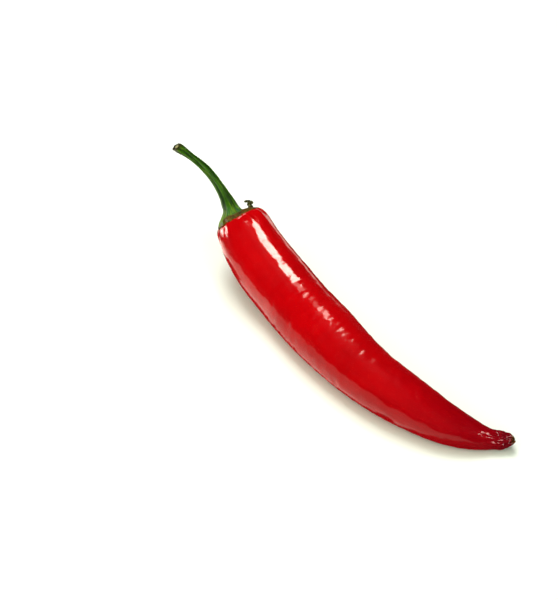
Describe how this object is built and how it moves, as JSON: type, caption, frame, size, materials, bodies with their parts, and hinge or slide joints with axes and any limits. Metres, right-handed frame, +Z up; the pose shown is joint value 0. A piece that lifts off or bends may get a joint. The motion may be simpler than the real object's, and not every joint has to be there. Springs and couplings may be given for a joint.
{
  "type": "chilli pepper",
  "caption": "Long curved red chilli with a green calyx and bent stalk, lying on its belly; fresh produce for kitchens, markets and food scenes.",
  "frame": {"origin": "under the middle of the whole chilli's box, on the surface it lies on", "axes": "+X from the stalk towards the tip, +Z up"},
  "size_m": [0.1364, 0.0256, 0.0343],
  "materials": {
    "pod_skin": "gloss",
    "green_stalk": "satin",
    "dried_scrap": "matte"
  },
  "bodies": {
    "root": {"pod": "pod_skin", "calyx_and_stalk": "green_stalk", "dried_flower_scrap": "dried_scrap"}
  },
  "joints": []
}
